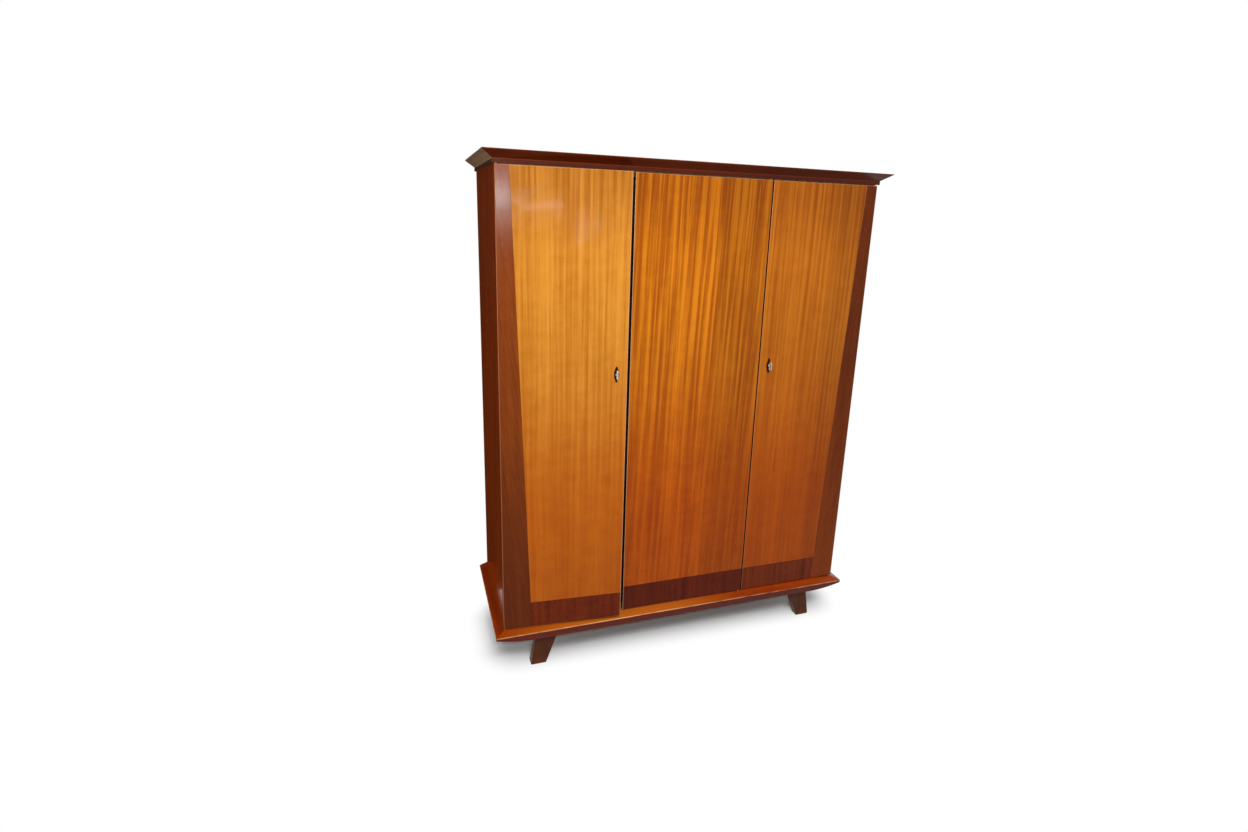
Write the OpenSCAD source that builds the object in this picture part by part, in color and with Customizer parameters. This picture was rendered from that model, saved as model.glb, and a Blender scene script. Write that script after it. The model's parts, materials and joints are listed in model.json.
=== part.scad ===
// Three-door wardrobe on a splayed-leg base.
// The frame is Z up, X to the right as seen from the front, with the doors facing -Y.
// The origin is on the floor, in the middle of the wardrobe's width and overall depth.
// Every node is drawn with Y = 0 at the front face of the closed doors, and then moved by front_y.

/* [Carcass] */
// Width over the side panels, and of the three closed doors together
body_w = 1420; // [1300:2:1700]
// Depth of the side panels
body_d = 500; // [440:5:600]
// Height of the side panels
body_h = 1638; // [1500:2:1800]
// Thickness of the side panels
side_t = 20; // [18:1:25]
// Thickness of the top panel, bottom panel and partition
board_t = 19; // [18:1:22]
// Thickness of the plywood backs
back_t = 5; // [4:0.5:6]
// Distance of the plywood backs in front of the rear edges of the side panels
back_in = 1; // [0.5:0.5:3]
// Width of the rebate in a side panel that takes the edge of a plywood back
rebate_w = 10; // [8:1:12]
// Clearance around the edges of the plywood backs
back_gap = 1; // [0.5:0.5:2]
// Radius of the dowels that join the carcass
dowel_r = 4; // [3:0.5:5]
// Length of those dowels
dowel_l = 28; // [24:1:30]
// Depth of the dowels in the board that they meet face on
dowel_sink = 11; // [8:1:12]
// Distance of the first and last dowel from the front and back of the carcass
dowel_in = 60; // [40:5:90]

/* [Doors] */
// Thickness of the doors
door_t = 20; // [18:1:22]
// Width of the left door and of the right door
side_door_w = 442; // [400:2:480]
// Gap between the centre door and the right door
door_gap = 3; // [3:0.5:5]
// Open joint between the closed left door and the centre door
meeting_gap = 17; // [14:1:20]
// Gap between the back of the doors and the carcass
door_back_gap = 3; // [3:0.5:5]
// Gap between the base and the doors
door_foot_gap = 4; // [3:0.5:6]
// Gap between the doors and the cornice
door_head_gap = 3; // [2:0.5:5]
// Radius of the front edges of the doors
door_edge_r = 3; // [3:0.5:4]
// Radius of the back edges of the doors
door_back_r = 1.5; // [1:0.5:2]
// Radius of the corners of the doors, seen from the front
door_corner_r = 5; // [4:1:8]
// Angle by which the left door stands ajar
ajar = 4.5; // [0:0.5:10]

/* [Pivot hinges] */
// Distance of a pivot axis from the hinge edge of its door
pivot_in = 7; // [6.5:0.5:7.5]
// Distance of a pivot axis behind the front face of its door
pivot_back = 8; // [7:0.5:9]
// Radius of the pivot pins
pin_r = 3; // [2.5:0.5:3.5]
// Radial clearance of a pivot pin in its bush
pin_run = 0.05; // [0.02:0.01:0.1]
// Length of a pin inside its door
pin_l = 9; // [7:1:11]
// Outer radius of the bushes and of the shoulder that carries a door
bush_r = 5; // [4.5:0.5:5]
// Thickness of the hinge plates
plate_t = 1.5; // [1:0.5:2]
// Length of the hinge plates
plate_l = 60; // [45:1:70]
// Radius of the hinge plates' corners
plate_corner_r = 2; // [1:0.5:3]

/* [Cornice] */
// Height of the upright strip under the canted face
frieze_h = 14; // [10:1:20]
// Height of the canted face
cornice_h = 25; // [18:1:32]
// Reach of the canted face beyond the strip
cornice_flare = 33; // [24:1:40]
// Reach of the strip in front of the doors
frieze_front = 2; // [1:0.5:6]
// Reach of the strip beyond the side panels
frieze_side = 7; // [3:0.5:10]
// Width of the cornice's seat on the carcass, behind the face of the strip
cornice_seat = 45; // [36:1:60]
// Height of the upright lip along the cornice's top edge
cornice_lip = 2.5; // [2:0.5:4]
// Radius of the eased edges of the cornice and the base
ease_r = 1; // [0.5:0.25:1.25]

/* [Base] */
// Height of the base mouldings
base_h = 43; // [36:1:50]
// Height of their outer edge above their underside
base_edge_h = 31; // [26:1:34]
// Reach of their outer edge beyond the side panels
base_out = 33; // [26:1:40]
// Distance behind the doors' front face at which the front moulding begins to slope
base_front_in = 2; // [0:0.5:3]
// Radius of their outer edge
base_edge_r = 2; // [1:0.5:4]
// Radius of the base's front corners, seen from above
base_corner_r = 9; // [5:1:15]
// Distance by which their undercut leans in
base_under_in = 6; // [2:1:12]
// Height of the outer edge that is left at the mitred corners
base_corner_h = 8; // [4:1:10]
// Distance over which the underside sweeps up to the mitred corners
base_sweep = 155; // [120:5:180]
// Width of the base's seat inside the line where it begins to slope
base_seat = 40; // [34:1:50]
// Width of the rear rail
base_back_w = 60; // [50:1:80]
// Length of a side of the corner blocks
block_side = 55; // [40:1:70]
// Height of the corner blocks
block_h = 30; // [20:1:34]

/* [Legs] */
// Height of the legs
leg_h = 127; // [100:1:160]
// Thickness of the legs
leg_t = 30; // [24:1:36]
// Width of a leg at its top
leg_top_w = 82; // [70:1:95]
// Width of a leg at the floor
leg_foot_w = 59; // [45:1:66]
// Distance by which a leg's outer edge leans out
leg_splay = 24; // [0:1:40]
// Radius of the corners at a leg's foot
leg_foot_r = 6; // [3:1:10]
// Distance of the front legs behind the front of the base's underside
leg_setback = 27; // [18:1:30]
// Distance of the back legs from the rear of the base
leg_back_in = 15; // [10:1:22]
// Radius of the two bolts in each leg
bolt_r = 4; // [3:0.5:5]
// Depth of a bolt in the leg, and in the base
bolt_sink = 32; // [24:1:34]
// Distance between the two bolts of a leg
bolt_pitch = 40; // [30:1:44]

/* [Interior] */
// Height of the space over the hat shelf
hat_space = 240; // [200:5:320]
// Thickness of the shelves
shelf_t = 18; // [16:1:22]
// Distance of the shelves' front edges behind the front of the carcass
shelf_in = 30; // [25:1:60]
// Gap at each end of a shelf
shelf_gap = 1; // [0.5:0.5:2]
// Radius of the shelf pins
shelf_pin_r = 2.5; // [2:0.5:3]
// Length of the shelf pins
shelf_pin_l = 18; // [14:1:22]
// Depth of the shelf pins in the boards
shelf_pin_sink = 9; // [7:1:11]
// Distance of the shelf pins from the front and back edges of a shelf
shelf_pin_in = 50; // [30:5:80]
// Width of the cleats under the hat shelf
cleat_w = 20; // [15:1:25]
// Height of the cleats
cleat_h = 25; // [18:1:30]
// Radius of the hanging rail
rail_r = 12.5; // [10:0.5:15]
// Wall of the hanging rail
rail_wall = 1.5; // [1:0.25:2]
// Distance of the rail's axis below the hat shelf
rail_drop = 55; // [45:1:80]
// Radius of the rail sockets' flanges
flange_r = 22; // [20:1:26]
// Thickness of the flanges
flange_t = 3; // [2:0.5:4]
// Length of a rail socket's cup beyond its flange
cup_l = 12; // [8:1:18]
// Wall of a rail socket's cup
cup_wall = 2.5; // [2:0.5:4]
// Gap between the rail and the bottom of a cup
cup_gap = 1; // [0.5:0.5:2]

/* [Locks] */
// Height of the keyholes above the foot of the doors
key_z = 957; // [800:1:1100]
// Distance of a keyhole from the free edge of its door
key_in = 40; // [38:0.5:46]
// Height of a lock case
case_h = 56; // [52:1:70]
// Depth of a lock case
case_d = 15; // [14:0.5:18]
// Wall of a lock case
case_wall = 1.5; // [1:0.25:2]
// Reach of a lock case on the hinge side of the key
case_tail = 32; // [30:1:40]
// Distance of a lock case from the free edge of its door
case_edge = 2.5; // [2:0.5:4]
// Radius of the fixing bosses in a lock case
boss_r = 4; // [3:0.5:5]
// Distance by which those bosses are sunk into the walls
boss_sink = 1; // [0.5:0.5:1.5]
// Travel of a lock bolt
throw = 9; // [6:0.5:9]
// Height of a lock bolt
lock_bolt_h = 10; // [8:0.5:11]
// Thickness of a lock bolt
lock_bolt_t = 5; // [4:0.5:6]
// Height of a lock bolt's lower edge above the key
lock_bolt_z = 12; // [11.5:0.5:13]
// Distance of a lock bolt behind its door
lock_bolt_in = 5; // [4.5:0.5:6]
// Radius of the stud that guides a lock bolt
stud_r = 2; // [1.5:0.25:2.5]
// Clearance around the sliding parts of the locks
slide_gap = 0.3; // [0.2:0.05:0.5]
// Depth of the pockets that take the lock bolts, beyond the end of the bolt
pocket_more = 2; // [1:0.5:3]
// Thickness of the keeper plates
keeper_t = 1.5; // [1:0.5:2]

/* [Keys] */
// Radius of a key's shank
shank_r = 2.4; // [2:0.1:3]
// Radius of a key's pilot
pilot_r = 1.5; // [1:0.1:1.8]
// Length of a key's pilot
pilot_l = 3; // [2:0.5:4]
// Reach of a key's bit from its axis
bit_reach = 10; // [8:0.5:10.5]
// Thickness of a key's bit
bit_t = 2.2; // [1.6:0.1:3]
// Length of a key's bit
bit_l = 8; // [6:0.5:9]
// Height of a key's bow
bow_h = 34; // [26:1:38]
// Length of a key's bow
bow_l = 16; // [14:1:24]
// Width of the ring of a bow
bow_ring = 4; // [3:0.5:5]
// Thickness of a bow
bow_t = 3; // [2:0.5:4]
// Length of the shank in front of the escutcheon
neck_l = 6; // [5:1:12]
// Height of an escutcheon
plate_h = 57; // [48:1:64]
// Width of an escutcheon
escutcheon_w = 17; // [15:0.5:20]
// Thickness of an escutcheon's rim
rim_t = 2.4; // [1.8:0.2:3]
// Thickness of an escutcheon inside its rim
dish_t = 1.2; // [0.8:0.2:1.6]
// Width of an escutcheon's rim
rim_w = 2; // [1.5:0.5:3]

/* [Door bolts] */
// Radius of the two bolts on the centre door
slide_bolt_r = 3; // [2.5:0.5:3.5]
// Radial clearance of such a bolt in its guides
slide_bolt_run = 0.08; // [0.05:0.01:0.1]
// Length of such a bolt
slide_bolt_l = 88; // [80:1:110]
// Travel of such a bolt
slide_bolt_throw = 14; // [10:1:16]
// Distance of the bolts' axis behind the centre door
slide_bolt_in = 9; // [8.5:0.5:11]
// Distance of the bolts' axis from the free edge of the centre door
slide_bolt_edge = 36; // [32:1:60]
// Width of a guide
guide_w = 18; // [14:1:22]
// Height of each of a guide's two bearings
guide_ear = 14; // [10:1:16]
// Thickness of a guide's plate
guide_plate_t = 2; // [1.5:0.5:3]
// Radius of the finger knob on a bolt
knob_r = 4.5; // [4:0.5:6]
// Length of the finger knob
knob_l = 12; // [8:1:16]
// Distance of the guides from the top and bottom panels
guide_gap = 4; // [3:0.5:8]
// Radial clearance of a bolt in its keeper
keeper_gap = 0.6; // [0.4:0.1:1]
// Length of a keeper plate
keeper_l = 40; // [34:1:50]
// Distance of a bolt's hole from the front edge of the keeper plate
keeper_front = 5.5; // [5:0.5:6]

/* [Closing strip] */
// Width of the strip on the back of the centre door's free edge
strip_w = 28; // [24:1:28]
// Thickness of the strip
strip_t = 14; // [13:0.5:15]
// Gap between the strip and the closed left door
strip_gap = 3; // [2.5:0.5:4]
// Gap between the strip and the top and bottom panels
strip_end_gap = 6; // [4:1:10]

/* [Hidden] */
$fn = 48;
eps = 1;
fit = 0.05;
shelf_count = 4;
dowels_deep = 4;
ease_flats = 3;

half_w = body_w / 2;
carcass_y = door_t + door_back_gap;
rear_y = carcass_y + body_d;
body_z = leg_h + base_h;
top_z = body_z + body_h;
floor_z = body_z + board_t;
roof_z = top_z - board_t;
back_y = rear_y - back_in - back_t;
panel_d = back_y - carcass_y;
inner_w = body_w - 2 * side_t;

door_z = body_z + door_foot_gap;
door_h = body_h - door_foot_gap - door_head_gap;
centre_right = half_w - side_door_w - door_gap;
centre_left = side_door_w + meeting_gap - half_w;
centre_door_w = centre_right - centre_left;
partition_right = centre_right + 2;
partition_left = partition_right - board_t;

plate_w = 2 * bush_r;
frieze_x = half_w + frieze_side;
edge_x = half_w + base_out;
base_y = base_front_in;
base_front_y = base_y - base_out;
under_y = base_front_y + base_under_in;
leg_top_x = edge_x - base_sweep;
front_leg_y = under_y + leg_setback;
back_leg_y = rear_y - leg_back_in - leg_t;

shelf_y = carcass_y + shelf_in;
shelf_d = back_y - shelf_y;
hat_z = roof_z - hat_space - shelf_t;
shelf_pitch = (roof_z - floor_z + shelf_t) / (shelf_count + 1);
rail_z = hat_z - rail_drop;
rail_y = carcass_y + body_d / 2;

lock_z = door_z + key_z;
case_front = key_in - case_edge;
lock_bolt_tail = case_wall + 1 - case_tail;
stud_x = lock_bolt_tail + throw + 3 * stud_r;
stud_z = lock_bolt_z + lock_bolt_h / 2;
shank_front = -door_t - rim_t - neck_l;
shank_back = case_d - case_wall - slide_gap;
bit_y = shank_back - bit_l - 1;
bow_front = shank_front - bow_l + bow_ring / 2;
keyhole_r = shank_r + 0.6;
keyhole_w = bit_t + 1;
keyhole_drop = bit_reach + 1;

slide_bolt_x = centre_left + slide_bolt_edge;
slide_bolt_y = door_t + slide_bolt_in;
guide_l = 2 * guide_ear + 2 * knob_r + slide_bolt_throw + 2;
guide_d = slide_bolt_in + slide_bolt_r + 2.5;
strip_x = side_door_w - half_w + strip_gap;

// Foremost point of the wardrobe at rest: the cornice's edge, or the bow of the key in the left door.
left_pivot_x = pivot_in - half_w;
left_key_x = side_door_w - half_w - key_in;
key_tip_y = pivot_back - (left_key_x + bow_t / 2 - left_pivot_x) * sin(ajar)
    + (door_t + bow_front - pivot_back) * cos(ajar);
foremost_y = min(key_tip_y, -frieze_front - cornice_flare);
front_y = -(rear_y + foremost_y) / 2;

// ---- shared shapes ----

function unit(v) = v / norm(v);

// A convex outline with a round of its own at each corner: flat sides, and true arcs.
module rounded_outline(points, radii) {
    n = len(points);
    corners = [for (i = [0:n - 1])
        let (p = points[i],
            a = unit(points[(i + n - 1) % n] - p),
            b = unit(points[(i + 1) % n] - p),
            half = acos(a * b) / 2,
            r = radii[i])
        [p + a * r / tan(half), p + b * r / tan(half), p + unit(a + b) * r / sin(half)]];
    polygon([for (i = [0:n - 1]) each (radii[i] > 0 ? [corners[i][0], corners[i][1]] : [points[i]])]);
    for (i = [0:n - 1])
        if (radii[i] > 0)
            translate(corners[i][2]) circle(radii[i]);
}

// An outline whose corners are eased by a few short flats along an arc, as a plane leaves them.
module eased_outline(points, radii) {
    n = len(points);
    polygon([for (i = [0:n - 1])
        let (p = points[i],
            a = unit(points[(i + n - 1) % n] - p),
            b = unit(points[(i + 1) % n] - p),
            half = acos(a * b) / 2,
            r = radii[i],
            centre = p + unit(a + b) * r / sin(half),
            start = p + a * r / tan(half) - centre,
            end = p + b * r / tan(half) - centre,
            turn = (180 - 2 * half) * sign(start[0] * end[1] - start[1] * end[0]))
        each (r == 0 ? [p] : [for (k = [0:ease_flats])
            let (t = turn * k / ease_flats)
            centre + [start[0] * cos(t) - start[1] * sin(t), start[0] * sin(t) + start[1] * cos(t)]])]);
}

module rounded_plate(w, h, r) {
    rounded_outline([[0, 0], [w, 0], [w, h], [0, h]], [r, r, r, r]);
}

// An outline drawn in X and Z, with its thickness towards +Y.
module upright(depth) {
    translate([0, depth, 0]) rotate([90, 0, 0]) linear_extrude(depth) children();
}

// An outline drawn in Y and Z, with its length towards +X.
module lengthwise(length) {
    rotate([90, 0, 90]) linear_extrude(length) children();
}

// Everything is drawn from the front face of the doors.
module placed() {
    translate([0, front_y, 0]) children();
}

module both_sides() {
    children();
    mirror([1, 0, 0]) children();
}

// The left door turned ajar about its pivots.
module ajar_door() {
    translate([left_pivot_x, pivot_back, 0]) rotate([0, 0, -ajar])
        translate([-left_pivot_x, -pivot_back, 0]) children();
}

// ---- carcass ----

module side_dowel_places() {
    step = (body_d - 2 * dowel_in) / (dowels_deep - 1);
    for (i = [0:dowels_deep - 1], z = [floor_z - board_t / 2, roof_z + board_t / 2])
        translate([half_w - side_t, carcass_y + dowel_in + i * step, z]) children();
}

module partition_dowel_places() {
    step = (body_d - 2 * dowel_in) / (dowels_deep - 1);
    for (i = [0:dowels_deep - 1], end = [0, 1])
        translate([(partition_left + partition_right) / 2, carcass_y + dowel_in + i * step,
            end == 0 ? floor_z : roof_z]) mirror([0, 0, end]) children();
}

module side_dowel(r) {
    translate([dowel_sink - dowel_l, 0, 0]) rotate([0, 90, 0]) cylinder(h = dowel_l, r = r);
}

module partition_dowel(r) {
    translate([0, 0, -dowel_sink]) cylinder(h = dowel_l, r = r);
}

module shelf_pin(r) {
    rotate([0, 90, 0]) cylinder(h = shelf_pin_l, r = r);
}

module shelf_pin_places() {
    for (i = [1:shelf_count], y = [shelf_y + shelf_pin_in, back_y - shelf_pin_in])
        translate([0, y, shelf_top(i) - shelf_t - shelf_pin_r]) {
            translate([partition_right - shelf_pin_sink, 0, 0]) children();
            translate([half_w - side_t - shelf_pin_l + shelf_pin_sink, 0, 0]) children();
        }
}

function shelf_top(i) = floor_z + i * shelf_pitch;

module side_panel() {
    difference() {
        translate([half_w - side_t, carcass_y, body_z]) cube([side_t, body_d, body_h]);
        translate([half_w - side_t - eps, back_y, body_z - eps])
            cube([rebate_w + eps, back_in + back_t + eps, body_h + 2 * eps]);
        side_dowel_places() side_dowel(dowel_r + fit);
    }
}

module left_side() {
    color("saddlebrown") placed() mirror([1, 0, 0]) side_panel();
}

module right_side() {
    color("saddlebrown") placed() difference() {
        side_panel();
        shelf_pin_places() shelf_pin(shelf_pin_r + fit);
    }
}

module cross_panel(z) {
    difference() {
        translate([-inner_w / 2, carcass_y, z]) cube([inner_w, panel_d, board_t]);
        both_sides() side_dowel_places() side_dowel(dowel_r + fit);
        partition_dowel_places() partition_dowel(dowel_r + fit);
    }
}

module top_panel() {
    color("burlywood") placed() difference() {
        cross_panel(roof_z);
        translate([slide_bolt_x, slide_bolt_y, roof_z]) bolt_keeper_recess();
    }
}

module bottom_panel() {
    color("burlywood") placed() difference() {
        cross_panel(body_z);
        translate([slide_bolt_x, slide_bolt_y, floor_z]) mirror([0, 0, 1]) bolt_keeper_recess();
    }
}

module partition() {
    color("burlywood") placed() difference() {
        translate([partition_left, carcass_y, floor_z])
            cube([board_t, panel_d, roof_z - floor_z]);
        partition_dowel_places() partition_dowel(dowel_r + fit);
        shelf_pin_places() shelf_pin(shelf_pin_r + fit);
        lock_keeper_recess();
    }
}

module back_panel(x0, x1) {
    translate([x0, back_y, body_z + back_gap])
        cube([x1 - x0, back_t, body_h - 2 * back_gap]);
}

module back_panel_wide() {
    color("tan") placed()
        back_panel(side_t + back_gap - half_w - rebate_w, (partition_left + partition_right) / 2 - back_gap);
}

module back_panel_narrow() {
    color("tan") placed()
        back_panel((partition_left + partition_right) / 2, half_w - side_t + rebate_w - back_gap);
}

module carcass_dowels() {
    color("wheat") placed() {
        both_sides() side_dowel_places() side_dowel(dowel_r);
        partition_dowel_places() partition_dowel(dowel_r);
    }
}

// ---- cornice ----

// Half-plane to the inner side of the 45-degree mitre through the point (x, y), for a piece along X.
module mitre_cut(x, y, z, h) {
    reach = 2 * body_w;
    translate([x, y, z]) rotate([0, 0, 45]) translate([-reach, 0, 0]) cube([2 * reach, reach, h]);
}

module cornice_outline() {
    top = frieze_h + cornice_h;
    eased_outline([[0, 0], [0, frieze_h], [-cornice_flare, top - cornice_lip], [-cornice_flare, top],
        [cornice_seat, top], [cornice_seat, 0]], [0, 0, ease_r, ease_r, ease_r, 0]);
}

module cornice_front() {
    color("maroon") placed() difference() {
        translate([-frieze_x - cornice_flare, -frieze_front, top_z])
            lengthwise(2 * (frieze_x + cornice_flare)) cornice_outline();
        both_sides() mitre_cut(-frieze_x, -frieze_front, top_z - eps, frieze_h + cornice_h + 2 * eps);
        head_plates();
    }
}

module cornice_side() {
    difference() {
        translate([-frieze_x, -frieze_front - cornice_flare, top_z])
            rotate([90, 0, 180]) mirror([1, 0, 0]) linear_extrude(rear_y + frieze_front + cornice_flare)
            cornice_outline();
        mirror([1, -1, 0]) mitre_cut(-frieze_front, -frieze_x, top_z - eps, frieze_h + cornice_h + 2 * eps);
    }
}

module cornice_left() {
    color("maroon") placed() difference() {
        cornice_side();
        head_plates();
    }
}

module cornice_right() {
    color("maroon") placed() difference() {
        mirror([1, 0, 0]) cornice_side();
        head_plates();
    }
}

// ---- base ----

module base_outline() {
    eased_outline([[base_seat, 0], [base_seat, base_h], [0, base_h], [-base_out, base_edge_h],
        [base_under_in - base_out, 0]], [0, 0, 0, base_edge_r, ease_r]);
}

// The base from above, with its front corners rounded.
module base_plan() {
    translate([-edge_x, base_front_y, leg_h - eps]) linear_extrude(base_h + 2 * eps)
        rounded_outline([[0, 0], [2 * edge_x, 0], [2 * edge_x, rear_y - base_front_y],
            [0, rear_y - base_front_y]], [base_corner_r, base_corner_r, 0, 0]);
}

// What the underside loses as it sweeps up to a corner: below an arc that leaves the underside level.
module sweep_cut(length) {
    rise = base_edge_h - base_corner_h;
    radius = (base_sweep * base_sweep + rise * rise) / (2 * rise);
    difference() {
        translate([-eps, -length, -eps]) cube([base_sweep + eps, 2 * length, rise + eps]);
        translate([base_sweep, -length - eps, radius]) rotate([-90, 0, 0])
            cylinder(h = 2 * (length + eps), r = radius, $fn = 180);
    }
}

module base_front() {
    color("sienna") placed() difference() {
        intersection() {
            translate([-edge_x, base_y, leg_h]) lengthwise(2 * edge_x) base_outline();
            base_plan();
        }
        both_sides() mitre_cut(-half_w, base_y, leg_h - eps, base_h + 2 * eps);
        both_sides() translate([-edge_x, base_y, leg_h]) sweep_cut(base_out + base_seat);
        foot_plates();
        leg_bolt_places() leg_bolt(bolt_r + fit);
    }
}

module base_side() {
    difference() {
        intersection() {
            translate([-half_w, base_front_y, leg_h])
                rotate([90, 0, 180]) mirror([1, 0, 0]) linear_extrude(rear_y - base_front_y) base_outline();
            base_plan();
        }
        mirror([1, -1, 0]) mitre_cut(base_y, -half_w, leg_h - eps, base_h + 2 * eps);
        translate([-half_w, base_front_y, leg_h]) mirror([1, -1, 0]) sweep_cut(base_out + base_seat);
    }
}

module base_left() {
    color("sienna") placed() difference() {
        base_side();
        foot_plates();
    }
}

module base_right() {
    color("sienna") placed() difference() {
        mirror([1, 0, 0]) base_side();
        foot_plates();
    }
}

module base_back() {
    color("peru") placed() difference() {
        translate([base_seat - half_w, rear_y - base_back_w, leg_h])
            cube([body_w - 2 * base_seat, base_back_w, base_h]);
        leg_bolt_places() leg_bolt(bolt_r + fit);
    }
}

module corner_block() {
    linear_extrude(block_h) polygon([[0, 0], [block_side, 0], [0, block_side]]);
}

module base_blocks() {
    color("peru") placed() both_sides() translate([base_seat - half_w, 0, body_z - block_h]) {
        translate([0, base_y + base_seat, 0]) corner_block();
        translate([0, rear_y - base_back_w, 0]) mirror([0, 1, 0]) corner_block();
    }
}

// ---- legs ----

// A right-hand leg: a tapered board that leans out, seen from the front.
module leg() {
    upright(leg_t) rounded_outline(
        [[leg_top_x - leg_top_w, leg_h], [leg_top_x + leg_splay - leg_foot_w, 0],
            [leg_top_x + leg_splay, 0], [leg_top_x, leg_h]],
        [0, leg_foot_r, leg_foot_r, 0]);
}

module bored_leg(y) {
    difference() {
        translate([0, y, 0]) leg();
        leg_bolt_places() leg_bolt(bolt_r + fit);
    }
}

module leg_bolt_places() {
    for (side = [0, 1], y = [front_leg_y, back_leg_y], i = [-0.5, 0.5])
        mirror([side, 0, 0]) translate([leg_top_x - leg_top_w / 2 + i * bolt_pitch, y + leg_t / 2, leg_h])
            children();
}

module leg_bolt(r) {
    translate([0, 0, -bolt_sink]) cylinder(h = 2 * bolt_sink, r = r);
}

module leg_front_left() {
    color("saddlebrown") placed() mirror([1, 0, 0]) bored_leg(front_leg_y);
}

module leg_front_right() {
    color("saddlebrown") placed() bored_leg(front_leg_y);
}

module leg_back_left() {
    color("saddlebrown") placed() mirror([1, 0, 0]) bored_leg(back_leg_y);
}

module leg_back_right() {
    color("saddlebrown") placed() bored_leg(back_leg_y);
}

module leg_bolts() {
    color("silver") placed() leg_bolt_places() leg_bolt(bolt_r);
}

// ---- interior ----

module shelf(x0, x1, z) {
    translate([x0 + shelf_gap, shelf_y, z]) cube([x1 - x0 - 2 * shelf_gap, shelf_d, shelf_t]);
}

module hat_shelf() {
    color("burlywood") placed() shelf(side_t - half_w, partition_left, hat_z);
}

module hat_shelf_cleats() {
    color("burlywood") placed()
        for (x = [side_t - half_w, partition_left - cleat_w])
            translate([x, shelf_y, hat_z - cleat_h]) cube([cleat_w, shelf_d, cleat_h]);
}

module small_shelf(i) {
    color("burlywood") placed() shelf(partition_right, half_w - side_t, shelf_top(i) - shelf_t);
}

module shelf_1() { small_shelf(1); }
module shelf_2() { small_shelf(2); }
module shelf_3() { small_shelf(3); }
module shelf_4() { small_shelf(4); }

module shelf_pins() {
    color("goldenrod") placed() shelf_pin_places() shelf_pin(shelf_pin_r);
}

module hanging_rail() {
    start = side_t - half_w + flange_t + cup_gap;
    length = partition_left - flange_t - cup_gap - start;
    color("silver") placed() translate([start, rail_y, rail_z]) rotate([0, 90, 0]) difference() {
        cylinder(h = length, r = rail_r);
        translate([0, 0, -eps]) cylinder(h = length + 2 * eps, r = rail_r - rail_wall);
    }
}

module rail_socket() {
    rotate([0, 90, 0]) difference() {
        union() {
            cylinder(h = flange_t, r = flange_r);
            cylinder(h = flange_t + cup_l, r = rail_r + fit + cup_wall);
        }
        translate([0, 0, flange_t]) cylinder(h = cup_l + eps, r = rail_r + fit);
    }
}

module rail_sockets() {
    color("silver") placed() {
        translate([side_t - half_w, rail_y, rail_z]) rail_socket();
        translate([partition_left, rail_y, rail_z]) mirror([1, 0, 0]) rail_socket();
    }
}

// ---- pivot hinges ----

// A hinge plate from above: its axis at the origin, its length towards +X.
module hinge_plate(h) {
    linear_extrude(h) translate([-bush_r, -plate_w / 2]) rounded_plate(plate_l, plate_w, plate_corner_r);
}

module left_axis() {
    translate([left_pivot_x, pivot_back, 0]) children();
}

module centre_axis() {
    translate([centre_right - pivot_in, pivot_back, 0]) mirror([1, 0, 0]) children();
}

module right_axis() {
    translate([half_w - pivot_in, pivot_back, 0]) mirror([1, 0, 0]) children();
}

// The plates let into the cornice and the base, without their pins.
module head_plates() {
    translate([0, 0, top_z]) {
        left_axis() hinge_plate(plate_t);
        centre_axis() hinge_plate(plate_t);
        right_axis() hinge_plate(plate_t);
    }
}

module foot_plates() {
    translate([0, 0, body_z - plate_t]) {
        left_axis() hinge_plate(plate_t + eps);
        centre_axis() hinge_plate(plate_t + eps);
        right_axis() hinge_plate(plate_t + eps);
    }
}

// The fixed half of one door's hinges: a pin that hangs from the cornice, and one that stands on the base
// with a shoulder to carry the door.
module frame_pins() {
    translate([0, 0, top_z]) {
        hinge_plate(plate_t);
        translate([0, 0, -door_head_gap - pin_l]) cylinder(h = door_head_gap + pin_l + plate_t, r = pin_r);
    }
    translate([0, 0, body_z]) {
        translate([0, 0, -plate_t]) hinge_plate(plate_t);
        translate([0, 0, -plate_t]) cylinder(h = plate_t + door_foot_gap, r = bush_r);
        cylinder(h = door_foot_gap + pin_l, r = pin_r);
    }
}

module left_door_pins() {
    color("darkgoldenrod") placed() left_axis() frame_pins();
}

module centre_door_pins() {
    color("darkgoldenrod") placed() centre_axis() frame_pins();
}

module right_door_pins() {
    color("darkgoldenrod") placed() right_axis() frame_pins();
}

// The moving half: a plate with a bush, let into each end of the door. The solid form is what the wood loses.
module socket_form() {
    hinge_plate(plate_t);
    cylinder(h = pin_l + eps, r = bush_r);
}

module door_end_places() {
    translate([0, 0, door_z]) children();
    translate([0, 0, door_z + door_h]) mirror([0, 0, 1]) children();
}

module door_sockets() {
    door_end_places() difference() {
        socket_form();
        translate([0, 0, -eps]) cylinder(h = pin_l + 3 * eps, r = pin_r + pin_run);
    }
}

module left_door_sockets() {
    color("darkgoldenrod") placed() ajar_door() left_axis() door_sockets();
}

module centre_door_sockets() {
    color("darkgoldenrod") placed() centre_axis() door_sockets();
}

module right_door_sockets() {
    color("darkgoldenrod") placed() right_axis() door_sockets();
}

// ---- doors ----

// A door blank from its lower left front corner.
module door_slab(w) {
    intersection() {
        linear_extrude(door_h) rounded_outline([[0, 0], [w, 0], [w, door_t], [0, door_t]],
            [door_edge_r, door_edge_r, door_back_r, door_back_r]);
        lengthwise(w) rounded_outline([[0, 0], [door_t, 0], [door_t, door_h], [0, door_h]],
            [door_edge_r, door_back_r, door_back_r, door_edge_r]);
        upright(door_t) rounded_plate(w, door_h, door_corner_r);
    }
}

module keyhole(depth) {
    rotate([-90, 0, 0]) cylinder(h = depth, r = keyhole_r);
    translate([-keyhole_w / 2, 0, -keyhole_drop]) cube([keyhole_w, depth, keyhole_drop]);
}

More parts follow.
